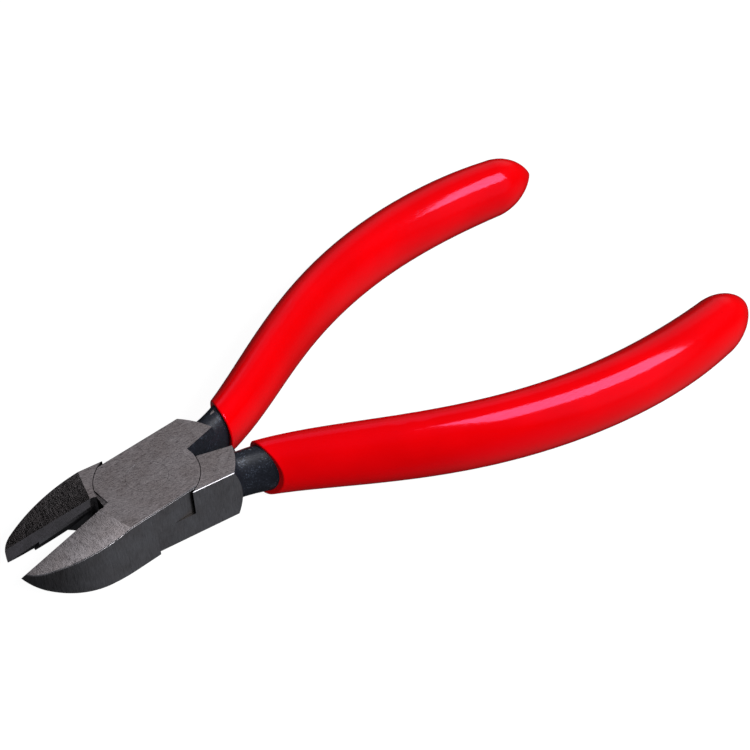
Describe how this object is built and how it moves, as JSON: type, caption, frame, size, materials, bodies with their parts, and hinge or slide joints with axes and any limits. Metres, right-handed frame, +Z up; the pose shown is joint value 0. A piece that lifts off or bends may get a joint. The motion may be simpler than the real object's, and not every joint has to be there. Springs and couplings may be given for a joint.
{
  "type": "diagonal cutting pliers",
  "caption": "Small diagonal cutting pliers with a lap joint, ground steel head, hollow-ground slanted cutting edges and dipped soft red grips.",
  "frame": {"origin": "where the pivot's axis meets the flat lower face of the head", "axes": "+X from the pivot towards the handles, with the tool lying open symmetrically about it; +Y towards the upper lever's handle; +Z up along the pivot's axis"},
  "size_m": [0.125, 0.0666, 0.0125],
  "materials": {
    "lever_steel": "ground bright on the head, black oxide on the necks",
    "rivet_steel": "ground flush with the head",
    "grip_plastic": "glossy dipped soft PVC"
  },
  "bodies": {
    "lower": {"lower_lever": "lever_steel", "pivot_rivet": "rivet_steel", "lower_grip": "grip_plastic"},
    "upper": {"upper_lever": "lever_steel", "upper_grip": "grip_plastic"}
  },
  "joints": [
    {"name": "pivot", "type": "hinge", "parent": "lower", "child": "upper", "pos_m": [0, 0, 0], "axis": [0, 0, 1], "range_deg": [-9.8, 46]}
  ]
}
